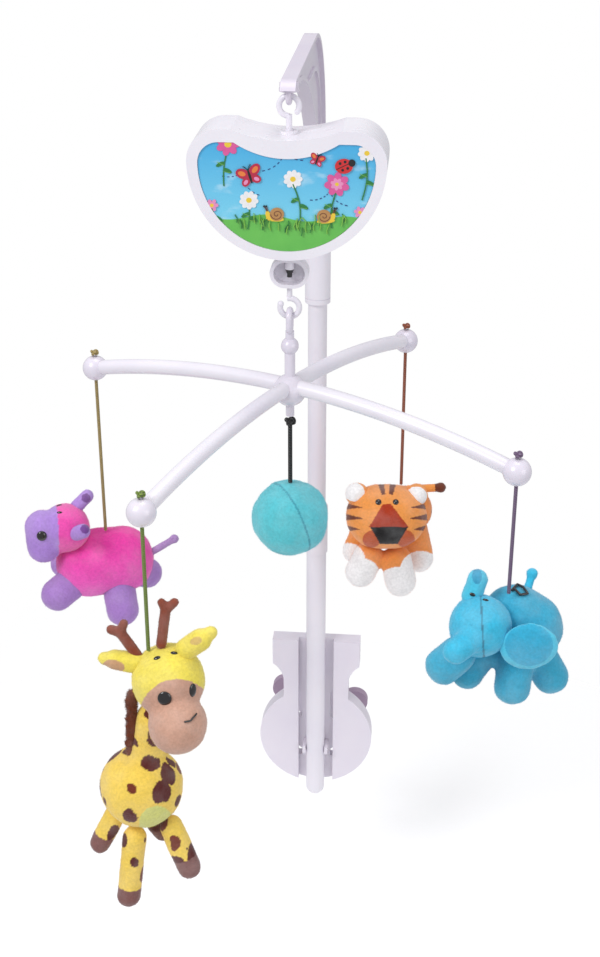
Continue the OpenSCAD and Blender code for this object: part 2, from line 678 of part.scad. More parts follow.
module tiger_head_form(g = 0) pill(tiger_head_c - [10, 0, 0], tiger_head_c, tiger_head_r, g);
module tiger_body_form(g = 0) pill(tiger_chest_c, tiger_rump_c, tiger_body_r, g);
module tiger_body() color([0.93, 0.55, 0.22]) at_toy(0) difference() {
  tiger_body_form();
  tiger_head_form(soft_gap);
}
module tiger_head() color([0.95, 0.6, 0.25]) at_toy(0) tiger_head_form();
module tiger_ears() color([0.96, 0.93, 0.9]) at_toy(0) {
  limb(tiger_head_c - [10, 0, 0], tiger_head_r, [-37, -8, -154], 8.5);
  limb(tiger_head_c, tiger_head_r, [14, -8, -154], 8.5);
}
module tiger_legs() color([0.95, 0.93, 0.92]) at_toy(0) {
  limb(tiger_head_c - [10, 0, 0], tiger_head_r, [-33, -14, -226], 13.5);
  limb(tiger_head_c, tiger_head_r, [1, -17, -234], 13.5);
  limb(tiger_rump_c, tiger_body_r, [22, 24, -218], 13);
  limb(tiger_chest_c, tiger_body_r, [-34, 26, -212], 12.5);
}
module tiger_tail() color([0.9, 0.5, 0.2]) at_toy(0) {
  limb(tiger_rump_c, tiger_body_r, [36, 27, -167], 4);
  blob([36, 27, -167], 5);
}

module elephant_head_form(g = 0) blob(elephant_head_c, elephant_head_r, g);
module elephant_body_form(g = 0) pill(elephant_chest_c, elephant_rump_c, elephant_body_r, g);
module elephant_body() color([0.28, 0.72, 0.84]) at_toy(3) difference() {
  elephant_body_form();
  elephant_head_form(soft_gap);
}
module elephant_head() color([0.28, 0.72, 0.84]) at_toy(3) {
  elephant_head_form();
  pill([-28, -24, -138], [-38, -34, -140], 9.5);
}
module elephant_ears() color([0.3, 0.75, 0.86]) at_toy(3) {
  translate([16, 0, -146]) rod_y(0, -27.5, elephant_chest_c[1] - elephant_body_r - soft_gap, 0, 16.5);
  blob(seat(elephant_head_c, elephant_head_r, [-25, 8, -110], 8), 8);
}
module elephant_legs() color([0.28, 0.7, 0.82]) at_toy(3) {
  limb(elephant_head_c, elephant_head_r, [-42, -10, -170], 13.5);
  limb(elephant_chest_c, elephant_body_r, [-24, 8, -183], 12);
  limb(elephant_rump_c, elephant_body_r, [6, -8, -190], 13.5);
  limb(elephant_rump_c, elephant_body_r, [34, 12, -184], 13.5);
}
module elephant_tail() color([0.25, 0.65, 0.78]) at_toy(3) {
  limb((elephant_chest_c + elephant_rump_c) / 2, elephant_body_r, [22, 32, -112], 3.2);
  blob([22, 32, -112], 4.5);
}

clamp_plate();
rail_pads();
clamp_bolt();
pressure_plate();
wing_knob();
lower_tube();
lower_coupler();
upper_tube();
upper_coupler();
crook_arm();
arm_loop();
case_front();
case_back();
picture_panel();
case_hook();
case_screws();
movement_plate();
spring_barrel();
mainspring();
winding_shaft();
melody_cylinder();
tuned_comb();
governor();
winding_grip();
shaft_nut();
hub_post();
hub_body();
spider_arm(0);  // spider_arm_1
spider_arm(1);  // spider_arm_2
spider_arm(2);  // spider_arm_3
spider_arm(3);  // spider_arm_4
arm_balls();
string_knots();
toy_string(1, hippo_top);  // string_hippo
toy_string(2, top_of(giraffe_head_c, giraffe_head_r));  // string_giraffe
toy_string(0, top_of(tiger_head_c, tiger_head_r));  // string_tiger
toy_string(3, top_of(elephant_chest_c, elephant_body_r));  // string_elephant
ball_cord();
centre_ball();
hippo_body();
hippo_head();
hippo_ears();
hippo_legs();
hippo_tail();
giraffe_body();
giraffe_head();
giraffe_ears();
giraffe_horns();
giraffe_mane();
giraffe_legs();
tiger_body();
tiger_head();
tiger_ears();
tiger_legs();
tiger_tail();
elephant_body();
elephant_head();
elephant_ears();
elephant_legs();
elephant_tail();
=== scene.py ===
import math
import random

import bmesh
import bpy
from mathutils import Matrix, Vector, noise
from mathutils.bvhtree import BVHTree


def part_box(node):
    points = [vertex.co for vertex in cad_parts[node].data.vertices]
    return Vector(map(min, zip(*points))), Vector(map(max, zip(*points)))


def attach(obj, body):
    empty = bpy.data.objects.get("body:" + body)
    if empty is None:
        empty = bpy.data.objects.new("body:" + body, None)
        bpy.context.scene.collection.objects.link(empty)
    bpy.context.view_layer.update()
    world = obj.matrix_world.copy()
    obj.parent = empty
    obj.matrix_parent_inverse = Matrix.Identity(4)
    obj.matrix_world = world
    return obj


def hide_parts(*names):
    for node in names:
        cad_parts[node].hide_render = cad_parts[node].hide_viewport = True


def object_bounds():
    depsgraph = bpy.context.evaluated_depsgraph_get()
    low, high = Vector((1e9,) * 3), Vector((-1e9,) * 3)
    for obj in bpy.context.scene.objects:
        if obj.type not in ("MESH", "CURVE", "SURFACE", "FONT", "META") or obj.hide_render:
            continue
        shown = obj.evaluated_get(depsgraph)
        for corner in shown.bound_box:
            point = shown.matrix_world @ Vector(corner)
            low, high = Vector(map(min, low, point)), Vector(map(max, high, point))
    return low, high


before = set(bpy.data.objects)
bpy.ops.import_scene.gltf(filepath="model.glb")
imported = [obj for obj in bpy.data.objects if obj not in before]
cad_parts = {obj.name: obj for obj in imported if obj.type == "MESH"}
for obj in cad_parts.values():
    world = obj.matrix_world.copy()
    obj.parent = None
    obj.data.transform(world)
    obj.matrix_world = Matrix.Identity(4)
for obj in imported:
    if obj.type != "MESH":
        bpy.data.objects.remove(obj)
box_before = [list(p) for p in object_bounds()]

# ---- Camera: it stands in front of the hub, above it, looking down ----
TURN = math.radians(5.1)
PITCH = math.radians(26)
EYE = Vector((0.0944, -1.2485, 0.799))
FOCAL = 1512.0
MID = (300.0, 478.5)
LOOK = Matrix.Rotation(TURN, 3, "Z") @ Matrix.Rotation(math.pi / 2 - PITCH, 3, "X")

cam_data = bpy.data.cameras.new("camera")
cam_data.lens = FOCAL / 957 * 36
cam_data.sensor_width = 36
cam = bpy.data.objects.new("camera", cam_data)
cam.matrix_world = Matrix.Translation(EYE) @ LOOK.to_4x4()
bpy.context.collection.objects.link(cam)
bpy.context.scene.camera = cam

# ---- Where things are: the hub, the arm balls and each toy's own axes ----
HUB = Vector((0, -0.270, 0.392))
BALLS = {
    "tiger": (0.0778, -0.11325),
    "hippo": (-0.15675, -0.1922),
    "giraffe": (-0.0778, -0.42675),
    "elephant": (0.15675, -0.3478),
}


def lin(r, g, b):
    """A display colour, 0 to 255, as a linear one."""
    out = []
    for c in (r, g, b):
        c /= 255
        out.append(c / 12.92 if c <= 0.04045 else ((c + 0.055) / 1.055) ** 2.4)
    return tuple(out)


def toy_point(toy, p):
    """A point of a toy, in millimetres from its string's line at the hub's level, in the row frame."""
    x, y = BALLS[toy]
    v = Matrix.Rotation(TURN, 3, "Z") @ Vector(p)
    return Vector((x, y, HUB.z)) + v / 1000


def ray(u, v):
    """The direction from the camera through a place in the view."""
    d = LOOK @ Vector(((u - MID[0]) / FOCAL, -(v - MID[1]) / FOCAL, -1))
    return d.normalized()


def seen(p):
    """Where a point shows in the view, as (u, v)."""
    q = LOOK.transposed() @ (p - EYE)
    return MID[0] - FOCAL * q.x / q.z, MID[1] + FOCAL * q.y / q.z


# ---- Objects ----
def link(name, mesh):
    """A new object in the scene, at the origin."""
    obj = bpy.data.objects.new(name, mesh)
    bpy.context.collection.objects.link(obj)
    return obj


def flatten(obj):
    """The object's mesh becomes what its modifiers make of it, and the modifiers go."""
    bpy.context.view_layer.update()
    graph = bpy.context.evaluated_depsgraph_get()
    new = bpy.data.meshes.new_from_object(obj.evaluated_get(graph), depsgraph=graph)
    new.name = obj.name
    obj.modifiers.clear()
    obj.data = new
    return obj


def smooth(obj):
    obj.data.polygons.foreach_set("use_smooth", [True] * len(obj.data.polygons))


def tube(name, points, r, mat, closed=False, sides=10):
    """A round bar along points, as a mesh with round ends."""
    curve = bpy.data.curves.new(name, "CURVE")
    curve.dimensions = "3D"
    curve.bevel_depth = r
    curve.bevel_resolution = max(1, sides // 4)
    curve.use_fill_caps = True
    spline = curve.splines.new("POLY")
    spline.points.add(len(points) - 1)
    for i, p in enumerate(points):
        spline.points[i].co = (*p, 1)
    spline.use_cyclic_u = closed
    obj = link(name, curve)
    mesh = bpy.data.meshes.new_from_object(obj)
    bpy.data.objects.remove(obj)
    mesh.materials.clear()
    mesh.materials.append(mat)
    obj = link(name, mesh)
    smooth(obj)
    return obj


def joined(name, objs):
    """Several objects as one, with their materials kept."""
    mats = []
    bm = bmesh.new()
    for o in objs:
        start = len(bm.faces)
        bm.from_mesh(o.data)
        own = [m for m in o.data.materials]
        bm.faces.ensure_lookup_table()
        for f in bm.faces[start:]:
            m = own[f.material_index]
            if m not in mats:
                mats.append(m)
            f.material_index = mats.index(m)
        bpy.data.objects.remove(o)
    mesh = bpy.data.meshes.new(name)
    bm.to_mesh(mesh)
    bm.free()
    for m in mats:
        mesh.materials.append(m)
    return link(name, mesh)


# ---- Shader maths ----
class Sock:
    """A shader value that takes + - * / with numbers and other values."""

    def __init__(self, kit, out):
        self.kit, self.out = kit, out

    def _op(self, op, a, b=None, c=None):
        node = self.kit.tree.nodes.new("ShaderNodeMath")
        node.operation = op
        for i, v in enumerate((a, b, c)):
            if v is not None:
                self.kit.put(node.inputs[i], v)
        return Sock(self.kit, node.outputs[0])

    def __add__(self, o):
        return self._op("ADD", self, o)

    def __radd__(self, o):
        return self._op("ADD", o, self)

    def __sub__(self, o):
        return self._op("SUBTRACT", self, o)

    def __rsub__(self, o):
        return self._op("SUBTRACT", o, self)

    def __mul__(self, o):
        return self._op("MULTIPLY", self, o)

    def __rmul__(self, o):
        return self._op("MULTIPLY", o, self)

    def __truediv__(self, o):
        return self._op("DIVIDE", self, o)

    def sin(self):
        return self._op("SINE", self)

    def over(self, edge, soft):
        """0 below edge, 1 above it, with a soft step."""
        node = self.kit.node("ShaderNodeMapRange", interpolation_type="SMOOTHSTEP")
        self.kit.put(node.inputs["Value"], self)
        self.kit.put(node.inputs["From Min"], edge - soft)
        self.kit.put(node.inputs["From Max"], edge + soft)
        return Sock(self.kit, node.outputs[0])


class Kit:
    """One material's node tree."""

    def __init__(self, name):
        self.mat = bpy.data.materials.new(name)
        self.mat.use_nodes = True
        self.tree = self.mat.node_tree
        self.shader = self.tree.nodes["Principled BSDF"]

    def node(self, kind, **settings):
        node = self.tree.nodes.new(kind)
        for k, v in settings.items():
            setattr(node, k, v)
        return node

    def put(self, socket, v):
        if isinstance(v, Sock):
            self.tree.links.new(v.out, socket)
        elif isinstance(v, (tuple, list)) and len(v) == 3 and len(socket.default_value) == 4:
            socket.default_value = (*v, 1)
        else:
            socket.default_value = v

    def spot(self):
        return Sock(self, self.node("ShaderNodeTexCoord").outputs["Object"])

    def axes(self):
        node = self.node("ShaderNodeSeparateXYZ")
        self.put(node.inputs[0], self.spot())
        return [Sock(self, o) for o in node.outputs]

    def noise(self, scale, detail=3, rough=0.5, stretch=None):
        vec = self.spot()
        if stretch:
            m = self.node("ShaderNodeVectorMath", operation="MULTIPLY")
            self.put(m.inputs[0], vec)
            m.inputs[1].default_value = stretch
            vec = Sock(self, m.outputs[0])
        node = self.node("ShaderNodeTexNoise")
        self.put(node.inputs["Vector"], vec)
        node.inputs["Scale"].default_value = scale
        node.inputs["Detail"].default_value = detail
        node.inputs["Roughness"].default_value = rough
        return Sock(self, node.outputs["Fac"])

    def cells(self, scale):
        node = self.node("ShaderNodeTexVoronoi", feature="F1")
        self.put(node.inputs["Vector"], self.spot())
        node.inputs["Scale"].default_value = scale
        return Sock(self, node.outputs["Distance"])

    def mix(self, fac, a, b):
        node = self.node("ShaderNodeMix", data_type="RGBA", blend_type="MIX")
        self.put(node.inputs[0], fac)
        self.put(node.inputs[6], a)
        self.put(node.inputs[7], b)
        return Sock(self, node.outputs[2])

    def tint(self):
        node = self.node("ShaderNodeAttribute", attribute_name="tint")
        return Sock(self, node.outputs["Color"])

    def bump(self, height, distance, strength=1.0):
        node = self.node("ShaderNodeBump")
        node.inputs["Strength"].default_value = strength
        node.inputs["Distance"].default_value = distance
        self.put(node.inputs["Height"], height)
        self.put(self.shader.inputs["Normal"], Sock(self, node.outputs[0]))

    def set(self, **values):
        for k, v in values.items():
            self.put(self.shader.inputs[k.replace("_", " ")], v)
        return self


def plastic(name, colour, rough=0.32, coat=0.25, grain=0.00001, dirt=0.035):
    k = Kit(name)
    cloud = k.noise(22, 4)
    fine = k.noise(900, 2)
    shade = tuple(c * (1 - dirt) * s for c, s in zip(colour, (0.98, 0.97, 1.0)))
    k.set(Base_Color=k.mix(cloud.over(0.55, 0.25), colour, shade),
        Roughness=rough + 0.12 * (k.noise(60, 5) - 0.5))
    k.set(Coat_Weight=coat, Coat_Roughness=0.2, Specular_IOR_Level=0.45)
    k.shader.inputs["Subsurface Weight"].default_value = 0.08
    k.shader.inputs["Subsurface Radius"].default_value = (0.004, 0.003, 0.003)
    k.bump(fine + 2 * k.noise(25, 1), grain)
    return k.mat


def metal(name, colour, rough=0.3, stretch=(1, 1, 30)):
    k = Kit(name)
    lines = k.noise(250, 3, 0.6, stretch)
    k.set(Base_Color=k.mix(lines, colour, tuple(c * 0.75 for c in colour)), Metallic=1.0,
        Roughness=rough + 0.25 * (lines - 0.5))
    k.bump(lines, 0.00002)
    return k.mat


def rubber(name, colour):
    k = Kit(name)
    k.set(Base_Color=k.mix(k.noise(80, 4), colour, tuple(c * 1.5 for c in colour)),
        Roughness=0.75 + 0.15 * (k.noise(150) - 0.5))
    k.bump(k.cells(700), 0.00008)
    return k.mat


def plush_mat(name, wash=0.07):
    """Short pile: the painted tint, worn lighter and darker in tufts, with a soft sheen."""
    k = Kit(name)
    tuft = k.noise(520, 3, 0.6)
    patch = k.noise(60, 3, 0.5)
    base = k.mix((tuft.over(0.5, 0.2)) * wash * 2, k.tint(), (0.0, 0.0, 0.0))
    light = k.mix(patch.over(0.55, 0.2) * wash, base, (1, 1, 1))
    k.set(Base_Color=light, Roughness=0.9 + 0.1 * (patch - 0.5), Sheen_Weight=0.35, Sheen_Roughness=0.5,
        Specular_IOR_Level=0.15)
    k.bump(0.7 * tuft + 0.6 * k.noise(1300, 2) + 0.3 * k.cells(700), 0.00045, 0.8)
    return k.mat


def twisted_mat(name, colour, x0, y0, pitch):
    """A cord of three strands laid round the upright line at x0, y0. Painted shade darkens the grooves between the
    strands and a painted highlight lightens their crests.
    """
    k = Kit(name)
    x, y, z = k.axes()
    angle = (y - y0)._op("ARCTAN2", y - y0, x - x0)
    wave = (3 * angle + z * (2 * math.pi / pitch * 3)).sin()
    fibre = k.noise(1500, 2, 0.6, (1, 1, 0.3))
    # The two colours below are painted shade for the grooves between the strands and a painted highlight for their
    # crests, following the twist.
    groove_shade, crest_light = tuple(c * 0.45 for c in colour), tuple(min(1, c * 1.25) for c in colour)
    k.set(Base_Color=k.mix(wave.over(0, 0.9) * 0.55 + 0.3 * fibre, groove_shade, crest_light),
        Roughness=0.85 + 0.1 * (fibre - 0.5), Sheen_Weight=0.2)
    k.bump(wave + 0.5 * fibre, 0.0005)
    return k.mat


def bead_mat(name, colour, rough=0.12):
    k = Kit(name)
    k.set(Base_Color=k.mix(k.noise(300), colour, tuple(c * 1.6 + 0.003 for c in colour)),
        Roughness=rough + 0.1 * (k.noise(500) - 0.5), Coat_Weight=0.6)
    k.bump(k.noise(400), 0.00002)
    return k.mat


WHITE = plastic("white_shell", lin(232, 228, 236))
ARM = plastic("arm_shell", lin(216, 208, 221), 0.36)
CLAMP = plastic("clamp_shell", lin(227, 221, 231), 0.38)
# Painted shade: the wing knob takes as its colour the darker mauve-grey it shows in the shade behind the clamp plate.
KNOB_SHADED = plastic("knob_shell", lin(172, 150, 172), 0.5, 0.1, 0.00008)
RUBBER = rubber("pad_rubber", lin(52, 52, 56))
STEEL = metal("steel", (0.55, 0.55, 0.58), 0.28)
BRASS = metal("brass", (0.75, 0.52, 0.2), 0.25)
BLACK = bead_mat("black_metal", lin(24, 23, 26), 0.35)
EYES = bead_mat("bead_black", lin(16, 12, 14), 0.12)
CASE = plastic("case_shell", lin(238, 235, 241), 0.28, 0.4)
BALL_SHELL = plastic("ball_shell", lin(226, 220, 231), 0.26, 0.4)

# ---- The picture in the music box: sky, far hills and grass, then printed shapes on it ----
low_panel, high_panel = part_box("picture_panel")


def panel_material():
    k = Kit("meadow_print")
    x, y, z = k.axes()
    top, bottom = high_panel[2], low_panel[2]
    sky = k.mix((z - (bottom + 0.35 * (top - bottom))) / (0.7 * (top - bottom)), lin(118, 205, 235),
        lin(58, 168, 222))
    cloud = k.noise(38, 4, 0.5, (1, 1, 2.2)).over(0.63, 0.07)
    sky = k.mix(cloud * 0.35, sky, lin(225, 243, 250))
    edge = z + 0.002 * (x * 120).sin()
    grass = k.mix(k.noise(60, 2), lin(88, 176, 74), lin(116, 200, 88))
    line = bottom + 0.315 * (top - bottom)
    k.set(Base_Color=k.mix(edge.over(line, 0.0003), grass, sky), Roughness=0.3 + 0.08 * (k.noise(90) - 0.5),
        Coat_Weight=0.5, Coat_Roughness=0.12)
    k.bump(k.noise(700, 2), 0.00002)
    return k.mat


def ink(name, colour):
    k = Kit("ink_" + name)
    k.set(Base_Color=k.mix(k.noise(500, 3), colour, tuple(c * 0.8 for c in colour)),
        Roughness=0.35 + 0.1 * (k.noise(300) - 0.5), Coat_Weight=0.4)
    k.bump(k.noise(900, 2), 0.00001)
    return k.mat


INKS = {n: ink(n, lin(*c)) for n, c in {
    "pink": (226, 92, 160), "rose": (238, 150, 196), "yellow": (244, 208, 60), "crimson": (190, 36, 70),
    "orange": (236, 130, 60), "white": (246, 244, 246), "green": (44, 128, 60), "lime": (132, 196, 78),
    "tan": (190, 140, 84), "brown": (120, 74, 44), "navy": (38, 50, 120), "red": (214, 40, 44),
    "black": (26, 22, 26)}.items()}


# Each part of a butterfly's wing: its place, its half width and height, its turn and its colour
WING_PARTS = (
    (5.4, -4, 6.2, 4.2, -35, "crimson"), (4.4, 3.6, 4.6, 3.4, 38, "crimson"),
    (6, -4.3, 3.4, 2.1, -35, "orange"), (4.9, 3.9, 2.4, 1.6, 38, "rose"))


class Print:
    """Flat printed shapes, each a thin closed slab just in front of the panel. Places are in the view's own units."""

    def __init__(self):
        self.bm = bmesh.new()
        self.mats = []
        self.layer = 0
        self.y = low_panel[1]

    def place(self, u, v):
        d = ray(u, v)
        t = (self.y - EYE.y) / d.y
        return EYE + d * t

    def shape(self, points, colour):
        """A slab from (u, v) points that go round the shape."""
        if colour not in self.mats:
            self.mats.append(colour)
        self.layer += 1
        front = self.y - 0.00006 - 0.000004 * self.layer
        flat = [self.place(u, v) for u, v in points]
        area = sum(a.x * b.z - b.x * a.z for a, b in zip(flat, flat[1:] + flat[:1]))
        if area < 0:
            flat.reverse()
        rings = [[self.bm.verts.new((p.x, y, p.z)) for p in flat] for y in (front, self.y + 0.0002)]
        faces = [self.bm.faces.new(rings[0]), self.bm.faces.new(rings[1][::-1])]
        n = len(flat)
        for i in range(n):
            j = (i + 1) % n
            faces.append(self.bm.faces.new((rings[0][j], rings[0][i], rings[1][i], rings[1][j])))
        for f in faces:
            f.material_index = self.mats.index(colour)

    def oval(self, u, v, ru, rv, colour, turn=0, n=20):
        c, s = math.cos(math.radians(turn)), math.sin(math.radians(turn))
        pts = []
        for i in range(n):
            a = 2 * math.pi * i / n
            x, y = ru * math.cos(a), rv * math.sin(a)
            pts.append((u + x * c - y * s, v + x * s + y * c))
        self.shape(pts, colour)

    def line(self, points, w, colour):
        left, right = [], []
        for i, (u, v) in enumerate(points):
            a, b = points[max(0, i - 1)], points[min(len(points) - 1, i + 1)]
            d = math.hypot(b[0] - a[0], b[1] - a[1]) or 1
            nu, nv = -(b[1] - a[1]) / d * w / 2, (b[0] - a[0]) / d * w / 2
            left.append((u + nu, v + nv))
            right.append((u - nu, v - nv))
        for i in range(len(points) - 1):
            self.shape([left[i], left[i + 1], right[i + 1], right[i]], colour)

    def flower(self, u, v, r, petals, colour, centre, turn=0):
        for i in range(petals):
            a = 360 / petals * i + turn
            x, y = math.cos(math.radians(a)), math.sin(math.radians(a))
            self.oval(u + x * r * 0.58, v + y * r * 0.54, r * 0.44, r * 0.3, colour, a)
        self.oval(u, v, r * 0.3, r * 0.28, centre)

    def stem(self, u, v, u2, v2, bend=3):
        pts = []
        for i in range(9):
            t = i / 8
            pts.append((u + (u2 - u) * t + bend * math.sin(math.pi * t), v + (v2 - v) * t))
        self.line(pts, 1.3, "green")
        for s, t in ((-1, 0.45), (1, 0.62)):
            cu, cv = u + (u2 - u) * t + bend * math.sin(math.pi * t), v + (v2 - v) * t
            self.oval(cu + s * 4, cv - 1, 4.6, 1.9, "green", s * 28)
            self.line([(cu, cv), (cu + s * 7, cv - 1 + s * 2)], 0.4, "lime")

    def snail(self, u, v, s):
        self.oval(u + s * 2, v + 4.6, 9, 2.4, "yellow", -4 * s)
        self.oval(u + s * 9, v + 0.6, 2.3, 4.4, "yellow", 14 * s)
        for k in (0, 1):
            self.line([(u + s * (9 + k), v - 3), (u + s * (10.5 + 2.4 * k), v - 8)], 0.7, "brown")
            self.oval(u + s * (10.5 + 2.4 * k), v - 8, 0.9, 0.9, "black", n=10)
        self.oval(u, v, 7.2, 6.6, "tan")
        turn = [(u + s * (6.2 - 0.24 * i) * math.cos(0.42 * i), v + (5.6 - 0.22 * i) * math.sin(0.42 * i))
            for i in range(24)]
        self.line(turn, 0.9, "brown")

    def butterfly(self, u, v, size, turn):
        c, s = math.cos(math.radians(turn)), math.sin(math.radians(turn))

        def at(x, y):
            return u + (x * c - y * s) * size, v + (x * s + y * c) * size

        for side in (-1, 1):
            for x, y, a, b, t, colour in WING_PARTS:
                cu, cv = at(side * x, y)
                self.oval(cu, cv, a * size, b * size, colour, side * t + turn)
        cu, cv = at(0, 0)
        self.oval(cu, cv, 1.2 * size, 6.4 * size, "black", turn, 14)
        for side in (-1, 1):
            self.line([at(0, -5.5), at(side * 1.8, -8.5), at(side * 3.4, -10)], 0.5, "black")

    def ladybird(self, u, v):
        self.oval(u, v, 9, 7.4, "red")
        self.oval(u + 8, v - 3.2, 3.6, 3.6, "black", n=14)
        self.line([(u - 7.6, v + 3.2), (u + 6.4, v - 3.2)], 0.8, "black")
        for x, y in ((-3.8, -2.8), (1.2, -4.4), (-1.2, 3.8), (3.8, 2)):
            self.oval(u + x, v + y, 1.5, 1.5, "black", n=12)

    def done(self, name):
        mesh = bpy.data.meshes.new(name)
        self.bm.to_mesh(mesh)
        self.bm.free()
        for c in self.mats:
            mesh.materials.append(INKS[c])
        return link(name, mesh)


def loop_line(u0, v0, u1, v1, turns, r):
    """A looping flight line as dashes."""
    pts = []
    for i in range(61):
        t = i / 60
        a = 2 * math.pi * turns * t
        pts.append((u0 + (u1 - u0) * t + r * math.sin(a), v0 + (v1 - v0) * t - r * (1 - math.cos(a))))
    return pts


art = Print()
for line in (loop_line(222, 176, 262, 196, 1, 6), loop_line(262, 171, 306, 160, 1, 7),
        loop_line(310, 200, 350, 206, 1, 6)):
    for k in range(0, 60, 4):
        art.line(line[k:k + 3], 0.8, "navy")
art.stem(228, 148, 224, 186, -2)
art.flower(228, 144, 12, 7, "pink", "yellow")
art.stem(249, 205, 248, 229, 1)
art.flower(249, 200, 9.5, 9, "white", "yellow", 8)
art.flower(293, 179, 9.5, 9, "white", "yellow")
art.stem(293, 184, 300, 222, 3)
art.stem(337, 190, 332, 228, -3)
art.flower(337, 184, 12.5, 7, "pink", "yellow", 20)
art.flower(337, 184, 6.5, 7, "rose", "yellow", 45)
art.flower(367, 153, 9, 9, "white", "yellow", 12)
art.stem(366, 158, 362, 200, 3)
art.flower(212, 205, 6.5, 6, "rose", "yellow")
art.stem(212, 208, 214, 226, 1)
art.flower(360, 212, 6, 6, "rose", "yellow", 12)
art.butterfly(250, 176, 1.15, -18)
art.butterfly(317, 160, 0.7, 20)
art.ladybird(344, 166)
art.snail(277, 214, -1)
art.snail(324, 216, 1)
rng = random.Random(5)
for k in range(54):
    u, v = 218 + 148 * rng.random(), 222 + 14 * rng.random()
    if math.hypot((u - 292) / 84, (v - 190) / 52) < 0.95:
        art.line([(u, v), (u + rng.uniform(-1, 1), v - 4), (u + rng.uniform(-3, 3), v - 7 - 3 * rng.random())],
            0.8, rng.choice(["green", "lime"]))
print_piece = art.done("meadow_print_shapes")
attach(print_piece, "music_box")

# ---- CAD nodes that stay, with their materials ----
finishes = {
    "clamp_plate": CLAMP, "rail_pads": RUBBER, "clamp_bolt": STEEL, "pressure_plate": CLAMP, "wing_knob": KNOB_SHADED,
    "lower_tube": WHITE, "lower_coupler": WHITE, "upper_tube": WHITE, "upper_coupler": WHITE,
    "crook_arm": ARM, "arm_loop": ARM, "case_front": CASE, "case_back": CASE, "picture_panel": panel_material(),
    "case_hook": WHITE, "case_screws": STEEL, "movement_plate": STEEL, "spring_barrel": BRASS,
    "mainspring": STEEL, "winding_shaft": BLACK, "melody_cylinder": BRASS, "tuned_comb": STEEL,
    "governor": STEEL, "winding_grip": WHITE, "shaft_nut": BLACK, "hub_post": BALL_SHELL,
    "hub_body": BALL_SHELL, "spider_arm_1": WHITE, "spider_arm_2": WHITE, "spider_arm_3": WHITE,
    "spider_arm_4": WHITE, "arm_balls": BALL_SHELL,
}
for node, mat in finishes.items():
    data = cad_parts[node].data
    data.materials.clear()
    data.materials.append(mat)

# ---- Cords ----
STRINGS = {
    "hippo": lin(196, 170, 104), "giraffe": lin(138, 166, 66), "tiger": lin(182, 96, 62),
    "elephant": lin(140, 112, 150)}


def straight_cord(name, node, x, y, top, bottom, d, mat, body):
    curve = bpy.data.curves.new(name, "CURVE")
    curve.dimensions = "3D"
    curve.bevel_depth = d / 2
    curve.bevel_resolution = 3
    curve.use_fill_caps = True
    spline = curve.splines.new("POLY")
    spline.points.add(23)
    for i in range(24):
        t = i / 23
        spline.points[i].co = (x, y, top + (bottom - top) * t, 1)
    curve.materials.append(mat)
    obj = link(name, curve)
    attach(obj, body)
    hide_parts(node)
    return obj


def knot_points(c, r, n=72):
    """A trefoil's line, for a small overhand knot."""
    pts = []
    for i in range(n):
        t = 2 * math.pi * i / n
        q = Vector((math.sin(t) + 2 * math.sin(2 * t), math.cos(t) - 2 * math.cos(2 * t),
            -math.sin(3 * t) * 1.2)) / 3
        pts.append(Vector(c) + q * r)
    return pts


knots = []
for toy, (x, y) in BALLS.items():
    low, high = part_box("string_" + toy)
    mat = twisted_mat("cord_" + toy, STRINGS[toy], x, y, 0.0052)
    straight_cord("cord_" + toy, "string_" + toy, x, y, high[2], low[2], 0.0026, mat, toy + "_line")
    knots.append(tube("knot_" + toy, knot_points((x, y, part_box("string_knots")[1][2] - 0.0026), 0.0024), 0.0011,
        mat, True))
knot_piece = joined("string_knots_tied", knots)
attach(knot_piece, "spider")
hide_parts("string_knots")

black_cord = twisted_mat("cord_black", lin(26, 25, 28), HUB.x, HUB.y, 0.006)
low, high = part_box("ball_cord")
knot = tube("ball_cord_knot", knot_points((HUB.x, HUB.y, 0.3649), 0.0030), 0.00155, black_cord, True)
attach(knot, "ball_pendant")
straight_cord("ball_hanger", "ball_cord", HUB.x, HUB.y, high[2] - 0.002, low[2], 0.0032, black_cord,
    "ball_pendant")

# ---- Plush pieces ----
CLOTH_POINTS = 9000
CLOTH_FRAMES = 20
SWELL = 0.0011
BLADES_PER_M2 = 1500000


def add_form(bm, form):
    """A ball (centre, radius), a pressed ball (centre, three radii) or a capsule (end, end, radius), in metres."""
    if len(form) == 2:
        c, r = form
        if isinstance(r, tuple):
            scale = Matrix.Rotation(TURN, 4, "Z") @ Matrix.Diagonal((*r, 1))
        else:
            scale = Matrix.Scale(r, 4)
        made = bmesh.ops.create_icosphere(bm, subdivisions=4, radius=1, matrix=Matrix.Translation(c) @ scale)
        return made["verts"]
    a, b, r = form
    d = b - a
    spin = d.to_track_quat("Z", "Y").to_matrix().to_4x4()
    made = bmesh.ops.create_icosphere(bm, subdivisions=4, radius=r, matrix=Matrix.Translation(a) @ spin)
    n = d.normalized()
    for v in made["verts"]:
        if (v.co - a).dot(n) > 1e-6:
            v.co += d
    return made["verts"]


def stuff(obj, cap):
    """Blows the piece up a little as stuffed cloth, and keeps each point within cap of where it was."""
    mesh = obj.data
    start = [v.co.copy() for v in mesh.vertices]
    if len(start) > CLOTH_POINTS:
        return
    cloth = obj.modifiers.new("cloth", "CLOTH")
    cloth.settings.quality = 4
    cloth.settings.mass = 0.2
    cloth.settings.use_pressure = True
    cloth.settings.uniform_pressure_force = 4
    cloth.settings.effector_weights.gravity = 0
    scene = bpy.context.scene
    for i in range(1, CLOTH_FRAMES + 1):
        scene.frame_set(i)
    graph = bpy.context.evaluated_depsgraph_get()
    blown = bpy.data.meshes.new_from_object(obj.evaluated_get(graph), depsgraph=graph)
    ends = [v.co.copy() for v in blown.vertices]
    obj.modifiers.clear()
    scene.frame_set(1)
    bpy.data.meshes.remove(blown)
    for v, a, b in zip(mesh.vertices, start, ends):
        d = b - a
        if d.length > cap:
            d *= cap / d.length
        v.co = a + d * 0.9


